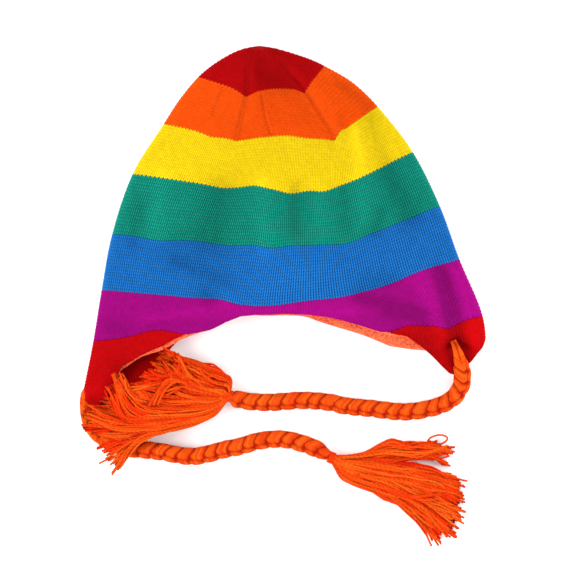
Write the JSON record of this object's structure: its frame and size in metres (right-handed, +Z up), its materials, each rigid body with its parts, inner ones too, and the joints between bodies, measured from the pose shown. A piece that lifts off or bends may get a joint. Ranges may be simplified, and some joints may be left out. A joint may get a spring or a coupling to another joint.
{
  "type": "knit ear-flap hat",
  "caption": "Striped rainbow knit beanie with fleece lining, ear flaps and braided tasselled ties, lying on its back.",
  "frame": {"origin": "on the surface that the hat lies on, at the middle of the hat's outline without its ties and tassels", "axes": "+Z up from the surface, +Y towards the crown with the picture's slight lean, +X to the picture's right"},
  "size_m": [0.2842, 0.3495, 0.0392],
  "materials": {
    "yarn_red": "plain knit",
    "yarn_orange": "plain knit",
    "yarn_yellow": "plain knit",
    "yarn_green": "plain knit",
    "yarn_blue": "plain knit",
    "yarn_purple": "plain knit",
    "yarn_flap_red": "plain knit",
    "fleece_coral": "brushed fleece",
    "yarn_tie": "braided and loose yarn"
  },
  "bodies": {
    "root": {"stripe_red_crown": "yarn_red", "stripe_orange": "yarn_orange", "stripe_yellow": "yarn_yellow", "stripe_green": "yarn_green", "stripe_blue": "yarn_blue", "stripe_purple": "yarn_purple", "flap_red_left": "yarn_flap_red", "flap_red_right": "yarn_flap_red", "lining": "fleece_coral", "tie_left": "yarn_tie", "tie_right": "yarn_tie", "tassel_left": "yarn_tie", "tassel_right": "yarn_tie"}
  },
  "joints": []
}
